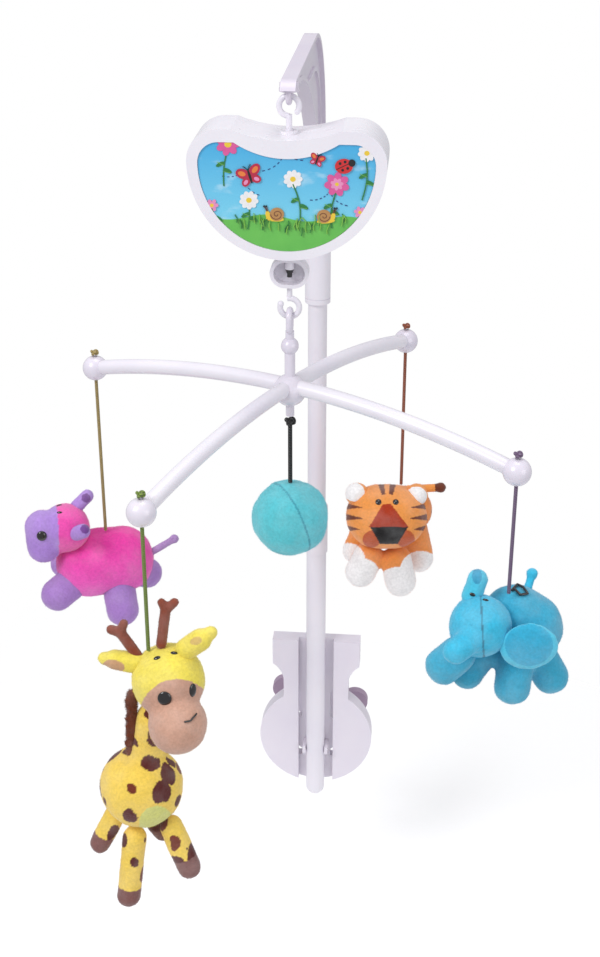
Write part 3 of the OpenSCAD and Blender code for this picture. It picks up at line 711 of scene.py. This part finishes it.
def pile_tree():
    """Short blades set all over a mesh. They take the tint of the place where they stand."""
    tree = bpy.data.node_groups.new("pile", "GeometryNodeTree")
    for name, kind in (("Mesh", "Geometry"), ("Density", "Float"), ("Length", "Float"), ("Seed", "Int"),
            ("Blade", "Object"), ("Material", "Material")):
        tree.interface.new_socket(name, in_out="INPUT", socket_type="NodeSocket" + kind)
    tree.interface.new_socket("Mesh", in_out="OUTPUT", socket_type="NodeSocketGeometry")

    def add(kind, **settings):
        node = tree.nodes.new(kind)
        for k, v in settings.items():
            setattr(node, k, v)
        return node

    into, out = add("NodeGroupInput"), add("NodeGroupOutput")
    join = tree.links.new
    spread = add("GeometryNodeDistributePointsOnFaces")
    join(into.outputs["Mesh"], spread.inputs["Mesh"])
    join(into.outputs["Density"], spread.inputs["Density"])
    join(into.outputs["Seed"], spread.inputs["Seed"])
    lean = add("FunctionNodeRandomValue", data_type="FLOAT_VECTOR")
    lean.inputs[0].default_value = (-0.7, -0.7, -3.14)
    lean.inputs[1].default_value = (0.7, 0.7, 3.14)
    join(into.outputs["Seed"], lean.inputs["Seed"])
    turn = add("FunctionNodeRotateRotation", rotation_space="LOCAL")
    join(spread.outputs["Rotation"], turn.inputs[0])
    join(lean.outputs[0], turn.inputs[1])
    size = add("FunctionNodeRandomValue", data_type="FLOAT")
    size.inputs[2].default_value = 0.6
    size.inputs[3].default_value = 1.1
    join(into.outputs["Seed"], size.inputs["Seed"])
    grow = add("ShaderNodeMath", operation="MULTIPLY")
    join(size.outputs[1], grow.inputs[0])
    join(into.outputs["Length"], grow.inputs[1])
    info = add("GeometryNodeObjectInfo")
    join(into.outputs["Blade"], info.inputs[0])
    place = add("GeometryNodeInstanceOnPoints")
    join(spread.outputs["Points"], place.inputs["Points"])
    join(info.outputs["Geometry"], place.inputs["Instance"])
    join(turn.outputs[0], place.inputs["Rotation"])
    join(grow.outputs[0], place.inputs["Scale"])
    real = add("GeometryNodeRealizeInstances")
    join(place.outputs[0], real.inputs[0])
    paint = add("GeometryNodeSetMaterial")
    join(real.outputs[0], paint.inputs["Geometry"])
    join(into.outputs["Material"], paint.inputs["Material"])
    both = add("GeometryNodeJoinGeometry")
    join(paint.outputs[0], both.inputs[0])
    join(into.outputs["Mesh"], both.inputs[0])
    join(both.outputs[0], out.inputs[0])
    return tree


PILE = pile_tree()
bm = bmesh.new()
tip = bm.verts.new((0, 0.16, 1))
bm.faces.new([bm.verts.new((-0.085, 0, -0.1)), bm.verts.new((0.085, 0, -0.1)), tip])
blade_mesh = bpy.data.meshes.new("blade")
bm.to_mesh(blade_mesh)
bm.free()
BLADE = link("blade", blade_mesh)
TREES = {}


def pile(obj, length, density, seed, mat):
    """Gives a piece its blades, and makes them part of its mesh."""
    mod = obj.modifiers.new("pile", "NODES")
    mod.node_group = PILE
    ids = {s.name: s.identifier for s in PILE.interface.items_tree if s.in_out == "INPUT"}
    mod[ids["Density"]] = float(density)
    mod[ids["Length"]] = float(length)
    mod[ids["Seed"]] = int(seed)
    mod[ids["Blade"]] = BLADE
    mod[ids["Material"]] = mat
    flatten(obj)


def plush(name, toy, forms, node, base, decals=(), fur=0.00085, voxel=0.0021, seed=1, wrinkle=0.0007,
        body=None, dense=1.0, paint=None):
    """One stuffed piece: its forms melt into one skin, which is blown up, softened, painted and given its pile.
    decals are (test, colour): test(u, v) says if a place in the view is inside the shape."""
    bm = bmesh.new()
    for form in forms:
        if toy:
            size = form[-1]
            size = tuple(q / 1000 for q in size) if isinstance(size, tuple) else size / 1000
            form = [toy_point(toy, p) for p in form[:-1]] + [size]
        add_form(bm, form)
    mesh = bpy.data.meshes.new(name)
    bm.to_mesh(mesh)
    bm.free()
    obj = link(name, mesh)
    skin = obj.modifiers.new("skin", "REMESH")
    skin.mode = "VOXEL"
    skin.voxel_size = voxel
    soften = obj.modifiers.new("soften", "SMOOTH")
    soften.factor = 0.5
    soften.iterations = 6
    flatten(obj)
    stuff(obj, SWELL)
    sub = obj.modifiers.new("finer", "SUBSURF")
    sub.levels = 1
    sub.render_levels = 1
    flatten(obj)
    mesh = obj.data
    mesh.update()
    off = Vector((seed * 3.1, seed * 1.7, seed * 2.3))
    moves = []
    for v in mesh.vertices:
        n = noise.noise(v.co * 55 + off) + 0.45 * noise.noise(v.co * 150 + off)
        moves.append(v.normal * n * wrinkle)
    for v, m in zip(mesh.vertices, moves):
        v.co += m
    mesh.update()
    attr = mesh.color_attributes.new("tint", "FLOAT_COLOR", "POINT")
    colours = []
    for v in mesh.vertices:
        c = base if paint is None else paint(v.co, base)
        if decals and v.normal.dot(EYE - v.co) > 0:
            u, w = seen(v.co)
            for test, colour in decals:
                if test(u, w):
                    c = colour
        shade = 1 + 0.06 * noise.noise(v.co * 90 + off)
        colours += [c[0] * shade, c[1] * shade, c[2] * shade, 1]
    attr.data.foreach_set("color", colours)
    mesh.materials.clear()
    mat = plush_mat("pile_" + name)
    mesh.materials.append(mat)
    smooth(obj)
    TREES.setdefault(toy or "ball", []).append(BVHTree.FromPolygons([v.co.copy() for v in mesh.vertices],
        [tuple(p.vertices) for p in mesh.polygons]))
    pile(obj, fur, BLADES_PER_M2 * dense, seed, mat)
    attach(obj, body or toy)
    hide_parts(node)
    return obj


def oval(u0, v0, ru, rv, turn=0):
    """A test for places inside an oval of the view, turned by turn degrees."""
    c, s = math.cos(math.radians(turn)), math.sin(math.radians(turn))

    def test(u, v):
        x, y = (u - u0) * c + (v - v0) * s, -(u - u0) * s + (v - v0) * c
        return (x / ru) ** 2 + (y / rv) ** 2 < 1

    return test


def poly(*pts):
    """A test for places inside a polygon of the view."""

    def test(u, v):
        inside = False
        for (a, b), (c, d) in zip(pts, pts[1:] + pts[:1]):
            if (b > v) != (d > v) and u < (c - a) * (v - b) / (d - b) + a:
                inside = not inside
        return inside

    return test


def hit(toy, u, v):
    """The nearest point of the toy's skin along the view's line, and its outward direction."""
    best = None
    for tree in TREES[toy]:
        p, n, i, d = tree.ray_cast(EYE, ray(u, v))
        if p is not None and (best is None or d < best[2]):
            best = (p, n, d)
    if best is None:
        for tree in TREES[toy]:
            far = EYE + ray(u, v) * 1.1
            p, n, i, d = tree.find_nearest(far)
            if p is not None and (best is None or d < best[2]):
                best = (p, n, d)
    p, n, d = best
    return p, (n if n.dot(EYE - p) > 0 else -n)


def bead(toy, u, v, w, h, mat, deep=0.5, turn=0):
    """A flattened bead on the skin, w by h in the view's units."""
    p, n = hit(toy, u, v)
    scale = (p - EYE).length / FOCAL
    side = (LOOK @ Vector((math.cos(math.radians(turn)), math.sin(math.radians(turn)), 0)))
    side = (side - n * side.dot(n)).normalized()
    up = n.cross(side)
    spin = Matrix((side, up, n)).transposed().to_4x4()
    size = Matrix.Diagonal((w / 2 * scale, h / 2 * scale, min(w, h) / 2 * scale * deep, 1))
    bm = bmesh.new()
    bmesh.ops.create_icosphere(bm, subdivisions=4, radius=1, matrix=Matrix.Translation(p) @ spin @ size)
    mesh = bpy.data.meshes.new("bead")
    bm.to_mesh(mesh)
    bm.free()
    mesh.materials.append(mat)
    obj = link("bead", mesh)
    smooth(obj)
    return obj


def thread(toy, pts, r, mat, lift=0.0008, n=5):
    """A line of embroidery that lies on the skin through (u, v) points."""
    line = []
    for (a, b), (c, d) in zip(pts, pts[1:]):
        for i in range(n):
            line.append((a + (c - a) * i / n, b + (d - b) * i / n))
    line.append(pts[-1])
    places = []
    for u, v in line:
        p, nrm = hit(toy, u, v)
        places.append(p + nrm * lift)
    return tube("thread", places, r, mat, sides=8)


def details(name, toy, objs):
    """A toy's beads and threads as one piece."""
    obj = joined(name, objs)
    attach(obj, toy)
    return obj


# ---- Hippo ----
PINK, LILAC = lin(242, 78, 184), lin(176, 136, 216)
BROWN, DARK, INK = lin(122, 54, 36), lin(92, 30, 28), lin(20, 16, 18)


def blush(low, high, z0, z1):
    """A tint that runs from low at height z0 to high at z1."""

    def paint(p, base):
        t = min(1, max(0, (p.z - z0) / (z1 - z0)))
        return tuple(x + (y - x) * t for x, y in zip(low, high))

    return paint


plush("hippo_body_plush", "hippo", [((-14, -4, -191), (10, 4, -192), 27.2)], "hippo_body",
    PINK, paint=blush(lin(242, 110, 208), lin(240, 58, 168), 0.176, 0.226), seed=1)
plush("hippo_head_plush", "hippo", [((-30, -12, -155), 19.6), ((-48, -18, -150), (-47, -19, -168), 13)],
    "hippo_head", lin(238, 82, 176),
    [(poly((10, 485), (50, 494), (57, 508), (59, 530), (59, 570), (10, 570)), LILAC)], seed=2)
plush("hippo_ears_plush", "hippo", [((-21, -3, -140), (-13, 1.5, -133), 5.6),
    ((-19, -27, -152), (-13, -32, -147.5), 6)], "hippo_ears",
    LILAC, [(oval(86, 498, 4.6, 4.6), lin(120, 70, 150)),
    (oval(85, 529, 4.6, 4.6), lin(120, 70, 150))], seed=3, voxel=0.0016)
plush("hippo_legs_plush", "hippo", [((-22, -12, -199), (-38, -24, -209), 13.4),
    ((9, -10, -206), (12.5, -20.5, -225), 13.4),
    ((-26, 14, -199), (-38.4, 24.9, -207.6), 12.8), ((16, 16, -205), (28.2, 29, -219.3), 12.8)], "hippo_legs",
    lin(172, 130, 204), seed=4)
plush("hippo_tail_plush", "hippo", [((31, 7, -190), (54, 10, -176.5), 2.9), ((54, 10, -176.5), 3.9)],
    "hippo_tail", lin(176, 140, 196), seed=5, voxel=0.0011, wrinkle=0.0003)
details("hippo_face", "hippo", [
    bead("hippo", 41.8, 536, 10, 10.5, EYES), bead("hippo", 59, 505.5, 5.5, 2.6, EYES, 0.8, 10),
    bead("hippo", 59.5, 512.5, 5.5, 2.6, EYES, 0.8, -6)])

# ---- Giraffe ----
CREAM, SAND = lin(248, 214, 96), lin(244, 226, 92)
rng = random.Random(11)
spots = []
for _ in range(1600):
    p = toy_point("giraffe", (-10 + rng.uniform(-45, 45), 5 + rng.uniform(-45, 45), rng.uniform(-330, -178)))
    if all((p - q).length > 0.0136 for q, r in spots):
        spots.append((p, rng.uniform(0.0046, 0.0068)))


def spotted(p, base):
    """Dark spots with uneven edges on the base colour."""
    warp = Vector((noise.noise(p * 120), noise.noise(p * 120 + Vector((9, 2, 4))),
        noise.noise(p * 120 + Vector((3, 7, 1))))) * 0.002
    for q, r in spots:
        d = p + warp - q
        if (d.x * d.x + d.y * d.y + d.z * d.z * 0.62) < r * r * 1.35:
            return DARK if r > 0.0052 else BROWN
    return base


plush("giraffe_body_plush", "giraffe", [((-10, 5, -236), 28.4), ((0.8, 8, -183), (-10, 8, -230), 12.6)],
    "giraffe_body",
    CREAM, [(oval(156, 822, 17, 16, -20), lin(222, 222, 128))], paint=spotted, seed=6)
plush("giraffe_head_plush", "giraffe", [((12, -1, -146), 24.2), ((19, -21, -167), 19.6)], "giraffe_head",
    SAND, [(oval(178, 722, 40, 43, -8), lin(208, 162, 140))], seed=7)
plush("giraffe_ears_plush", "giraffe", [((-8, 1, -134), (-22, 0, -131), 7),
    ((-22, 0, -131), (-29, 0, -130), 4.5), ((24, 0, -123), (34, -1, -115), 7.4),
    ((34, -1, -115), (41, -1, -110), 4.8)], "giraffe_ears",
    SAND, [(oval(114, 666, 11, 6, 12), lin(206, 160, 120)),
    (oval(196, 641, 6, 4, -20), lin(222, 190, 110))], seed=8, voxel=0.0015)
plush("giraffe_horns_plush", "giraffe", [((-7, 2, -130), (-18, 4, -113), 3.6),
    ((-18, 4, -113), (-24, 4, -110.5), 3.3), ((-18, 4, -113), (-15.5, 4, -106), 3.1),
    ((8.5, 1.5, -120), (12, 4, -95), 3.6), ((12, 4, -96), (18, 4, -90), 3.2), ((12, 4, -96), (9.5, 4, -90), 3)],
    "giraffe_horns", lin(140, 66, 44), seed=9, voxel=0.0011, wrinkle=0.0003)
mane_top, mane_low = toy_point("giraffe", (-13, 9, -164)), toy_point("giraffe", (-15.5, 4, -213))
tufts = []
for k in range(40):
    c = mane_top.lerp(mane_low, k / 39) + Vector((0.001 * math.sin(k * 2.4), 0, 0))
    out = Vector((-0.8 + 0.5 * math.sin(k * 3.3), 0.6 * math.cos(k * 1.9),
        0.3 * math.sin(k * 5.1))).normalized()
    tufts.append((c, c + out * 0.0036, 0.0014))
tufts.append((mane_top, mane_low, 0.0034))
plush("giraffe_mane_yarn", None, tufts, "giraffe_mane", lin(116, 56, 34), fur=0.0016,
    voxel=0.001, seed=10, wrinkle=0.0004, body="giraffe", dense=1.6)
HOOF = lin(134, 90, 86)
hooves = [toy_point("giraffe", p) for p in ((-40, -2, -282), (-21, -14, -318), (2, 16, -286), (22, -12, -294))]


def hoofed(p, base):
    """Spots, with a plain hoof at each foot."""
    return HOOF if any((p - h).length < 0.0125 for h in hooves) else spotted(p, base)


plush("giraffe_legs_plush", "giraffe", [((-29, 1, -258), (-40, -2, -280), 7.3),
    ((-15.5, -4.5, -272), (-21, -14, -316), 8.3),
    ((-4, 13, -270), (2, 16, -284), 7.3), ((10, -4, -264), (22, -12, -292), 8.3)], "giraffe_legs",
    CREAM, paint=hoofed, seed=12, voxel=0.0017)
details("giraffe_face", "giraffe", [
    bead("giraffe", 164.6, 698.5, 14, 15, EYES, 0.35), bead("giraffe", 192.8, 690.3, 9, 14, EYES, 0.35),
    bead("giraffe", 157, 658, 7, 4.4, EYES, 0.6, 14), bead("giraffe", 174, 653, 7, 4.4, EYES, 0.6, 14),
    thread("giraffe", [(184, 722), (190, 721), (196, 714)], 0.0006, BLACK)])

# ---- Tiger ----
ORANGE, RUST, CREAMW = lin(244, 158, 78), lin(178, 58, 26), lin(250, 247, 247)
STRIPE = lin(112, 52, 30)
face = [(poly((378, 484), (384, 484), (385.5, 494), (382, 495)), STRIPE),
    (poly((390, 484), (396, 484), (393, 495), (389, 494)), STRIPE)]
for s in (-1, 1):
    for k, (v, w) in enumerate(((506, 17), (517, 19), (528, 15))):
        u = 386.5 + s * 40.5
        face.append((poly((u, v - 3), (u - s * w, v + 1.5), (u, v + 3.4)), STRIPE))
face += [(poly((383, 504), (391, 504), (408.6, 527), (369, 527)), RUST),
    (oval(372, 539, 9.5, 8.5, -20), lin(198, 88, 40)), (oval(405.5, 539, 9.5, 9, 20), lin(198, 88, 40)),
    (poly((370, 527), (408, 527), (397.6, 544), (380, 544)), INK)]


def striped(p, base):
    """Wandering stripes across the body."""
    w = math.sin((p.x * 0.4 + p.y) * 330 + 2.2 * noise.noise(p * 60))
    return STRIPE if w > 0.72 and noise.noise(p * 45 + Vector((5, 5, 5))) > -0.15 else base


plush("tiger_head_plush", "tiger", [((-19.5, -12, -174.5), (-5, -12, -174.5), 26.6)], "tiger_head",
    ORANGE, face, seed=13, voxel=0.0017)
plush("tiger_body_plush", "tiger", [((2, 19, -185), (8, 23, -186), 21)], "tiger_body",
    lin(238, 146, 70), paint=striped, seed=14)
plush("tiger_ears_plush", "tiger", [((-37, -10, -155), 9.8), ((12.5, -9.5, -156), 9.8)], "tiger_ears",
    ORANGE,
    [(oval(354, 492, 10.5, 9.5), CREAMW), (oval(416.5, 496, 10.5, 9.5), CREAMW)], seed=15, voxel=0.0016)
plush("tiger_legs_plush", "tiger", [((-27, -13.5, -212), (-33, -14, -226), 13),
    ((-2.5, -15, -214.5), (1, -17, -234), 13),
    ((14, 21, -206), (19, 18, -231), 12.4), ((-28, 20, -204), (-36, 20, -224), 11.6)], "tiger_legs",
    lin(240, 150, 76),
    [(oval(361, 575, 19, 17), CREAMW), (oval(397.5, 584, 20, 17), CREAMW), (oval(421, 570, 21, 19), CREAMW),
    (oval(348, 559, 17, 16), CREAMW)], seed=16)
plush("tiger_tail_plush", "tiger", [((8, 24, -167), (36, 27, -167), 3.6), ((36, 27, -167), 4.6)], "tiger_tail",
    ORANGE,
    paint=lambda p, base: STRIPE if (p - toy_point("tiger", (38, 27, -167))).length < 0.008 else base,
    seed=17, voxel=0.0013, wrinkle=0.0003)
details("tiger_face", "tiger", [
    bead("tiger", 378.4, 502, 6, 6.4, EYES), bead("tiger", 395.8, 502, 6, 6.4, EYES)])

# ---- Elephant ----
TEAL, TEAL2 = lin(58, 190, 226), lin(80, 202, 232)


def seam(test_centre, half):
    """A test for places within half of a line down the view."""

    def test(u, v):
        return abs(u - test_centre(v)) < half

    return test


plush("elephant_head_plush", "elephant", [((-19, -8, -136), 21.6), ((-28, -24, -138), (-38, -34, -140), 9.2)],
    "elephant_head",
    TEAL, [(seam(lambda v: 481 + 0.05 * (v - 600), 0.9), lin(36, 130, 160))], seed=18,
    voxel=0.0017)
plush("elephant_body_plush", "elephant", [((8, 12, -142), (17, 11, -148), 24)], "elephant_body",
    lin(60, 172, 206), seed=19)
plush("elephant_ears_plush", "elephant", [((12.5, -23.2, -143), (20, 5.4, 18.5)),
    ((-25, 2, -118), (-21, 4, -106), 7.2)], "elephant_ears", TEAL2,
    [(oval(529, 645, 24, 21), lin(56, 178, 216)), (oval(477, 576, 5, 8), lin(52, 160, 198))], seed=20,
    voxel=0.0016)
plush("elephant_legs_plush", "elephant", [((-34, -9.4, -158), (-43, -10, -167), 13),
    ((-14, 8, -166), (-24, 8, -184), 11.8),
    ((8, 0, -168), (5.5, -9, -184), 13), ((24, 11, -168), (35, 10, -188), 13)], "elephant_legs",
    lin(62, 176, 210), seed=21)
plush("elephant_tail_plush", "elephant", [((17, 23.5, -124), (20, 29, -116), 3), ((20, 29, -116), 4.3)],
    "elephant_tail", TEAL, seed=22, voxel=0.0012, wrinkle=0.0003)
details("elephant_face", "elephant", [
    bead("elephant", 472.5, 594.6, 6, 3.8, EYES, 0.6, -20),
    bead("elephant", 485.5, 600, 6, 3.8, EYES, 0.6, -20),
    thread("elephant", [(512, 592), (517, 586), (523, 589), (527, 595), (520, 596), (514, 590)], 0.0009, BLACK,
    0.0014)])

# ---- Hanging ball ----
BALL_MID = Vector((HUB.x, HUB.y, HUB.z - 0.104))
SEAM_AXIS = Vector((0.82, 0.5, 0.27)).normalized()


def ball_seam(p, base):
    """A darker line round the ball, square to the seam's axis."""
    return lin(58, 160, 180) if abs((p - BALL_MID).normalized().dot(SEAM_AXIS)) < 0.022 else base


plush("centre_ball_plush", None, [(BALL_MID, 0.0279)], "centre_ball", lin(96, 206, 218),
    paint=ball_seam, fur=0.001, seed=23, wrinkle=0.0014, body="ball_pendant")

bpy.data.objects.remove(BLADE)

# ---- Floor, light and surroundings: the floor fades out into the white behind it ----
FLOOR_DROP = 0.14
AIM = (0, -0.25, 0.3)
floor_kit = Kit("floor")
fx, fy, _ = floor_kit.axes()
square = fx * fx + (fy + 0.25) * (fy + 0.25)
away = square._op("SQRT", square)
floor_kit.set(Alpha=1 - away.over(0.62, 0.36), Emission_Color=(1, 1, 1), Emission_Strength=0.22)
floor_kit.set(Base_Color=floor_kit.mix(floor_kit.noise(3, 4), lin(246, 246, 246), lin(238, 238, 240)),
    Roughness=0.8 + 0.1 * (floor_kit.noise(9) - 0.5))
floor_kit.bump(floor_kit.noise(140), 0.0002)
bm = bmesh.new()
bmesh.ops.create_grid(bm, x_segments=8, y_segments=8, size=6,
    matrix=Matrix.Translation((0, 0, box_before[0][2] - FLOOR_DROP)))
mesh = bpy.data.meshes.new("floor")
bm.to_mesh(mesh)
bm.free()
mesh.materials.append(floor_kit.mat)
floor = link("floor", mesh)


def area_light(name, place, size, power):
    """A round soft lamp that points at the middle of the object."""
    data = bpy.data.lights.new(name, "AREA")
    data.shape = "DISK"
    data.size = size
    data.energy = power
    obj = bpy.data.objects.new(name, data)
    obj.location = place
    obj.rotation_euler = (Vector(AIM) - Vector(place)).to_track_quat("-Z", "Y").to_euler()
    bpy.context.collection.objects.link(obj)


area_light("key", (-1.3, -1.6, 1.9), 1.1, 31)
area_light("fill", (1.6, -1.5, 0.9), 1.4, 10)
area_light("top", (0.1, -0.1, 2.0), 1.0, 8)

world = bpy.data.worlds.new("studio")
bpy.context.scene.world = world
world.use_nodes = True
tree = world.node_tree
tree.nodes.clear()
path = tree.nodes.new("ShaderNodeLightPath")
seen_bg = tree.nodes.new("ShaderNodeBackground")
seen_bg.inputs[0].default_value = (1, 1, 1, 1)
lit_bg = tree.nodes.new("ShaderNodeBackground")
lit_bg.inputs[0].default_value = (0.96, 0.97, 1, 1)
lit_bg.inputs[1].default_value = 0.56
mixer = tree.nodes.new("ShaderNodeMixShader")
output = tree.nodes.new("ShaderNodeOutputWorld")
tree.links.new(path.outputs["Is Camera Ray"], mixer.inputs[0])
tree.links.new(lit_bg.outputs[0], mixer.inputs[1])
tree.links.new(seen_bg.outputs[0], mixer.inputs[2])
tree.links.new(mixer.outputs[0], output.inputs[0])
bpy.context.scene.view_settings.view_transform = "Standard"
